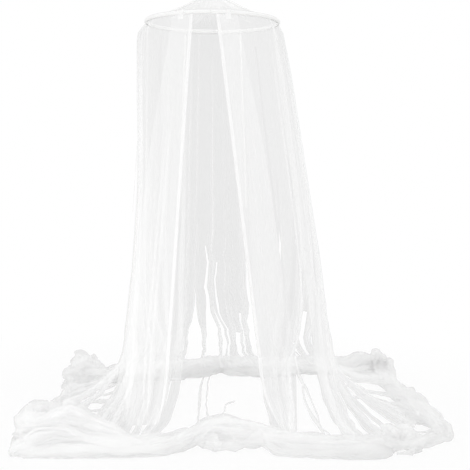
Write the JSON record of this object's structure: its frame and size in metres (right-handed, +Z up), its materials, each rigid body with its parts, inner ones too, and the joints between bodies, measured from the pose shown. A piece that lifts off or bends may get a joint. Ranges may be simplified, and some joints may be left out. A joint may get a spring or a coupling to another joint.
{
  "type": "hanging mosquito net",
  "caption": "Round hooped canopy net that hangs from one ring, with a parted front entrance and its spare length rolled up on the floor.",
  "frame": {"origin": "the point inside the top of the hanging ring where a hook bears", "axes": "+Z up, -Y towards the front with the entrance, +X to the right seen from the front"},
  "size_m": [1.696, 1.4902, 2.0428],
  "materials": {
    "steel": "satin",
    "white_plastic": "satin",
    "white_tape": "matte",
    "white_net": "matte"
  },
  "bodies": {
    "hanger": {"hanging_ring": "steel"},
    "loop": {"hanging_loop": "white_tape", "loop_stopper": "white_plastic"},
    "left_leaf": {"left_leaf": "white_net", "left_leaf_hem": "white_tape", "left_leaf_tab": "white_tape"},
    "right_leaf": {"right_leaf": "white_net", "right_leaf_hem": "white_tape", "right_leaf_tab": "white_tape"},
    "net": {"crown_eyelet": "steel", "hoop_ferrule_1": "steel", "hoop_ferrule_2": "steel", "hoop_ferrule_3": "steel", "hoop_rod_1": "white_plastic", "hoop_rod_2": "white_plastic", "hoop_rod_3": "white_plastic", "crown_cap": "white_tape", "crown_backing": "white_tape", "casing_left": "white_tape", "casing_right": "white_tape", "casing_tape": "white_tape", "cone_gore_1": "white_net", "cone_seam_1": "white_tape", "cone_gore_2": "white_net", "cone_seam_2": "white_tape", "cone_gore_3": "white_net", "cone_seam_3": "white_tape", "cone_gore_4": "white_net", "cone_seam_4": "white_tape", "left_seam": "white_tape", "right_seam": "white_tape", "rear_left_seam": "white_tape", "rear_right_seam": "white_tape", "front_left_panel": "white_net", "front_right_panel": "white_net", "rear_left_panel": "white_net", "rear_panel": "white_net", "rear_right_panel": "white_net"}
  },
  "joints": [
    {"name": "loop_swing", "type": "hinge", "parent": "hanger", "child": "loop", "pos_m": [0, 0, -0.026], "axis": [1, 0, 0], "range_deg": [-10, 10]},
    {"name": "net_turn", "type": "hinge", "parent": "loop", "child": "net", "pos_m": [0, 0, -0.12], "axis": [0, 0, 1], "continuous": true},
    {"name": "left_leaf_draw", "type": "hinge", "parent": "net", "child": "left_leaf", "pos_m": [-0.12519, -0.28119, -0.25], "axis": [-0.4044, -0.9084, 0.1065], "range_deg": [-5, 6.5]},
    {"name": "right_leaf_draw", "type": "hinge", "parent": "net", "child": "right_leaf", "pos_m": [0.07446, -0.29866, -0.25], "axis": [-0.2403, 0.9637, -0.1164], "range_deg": [-5, 8]}
  ]
}
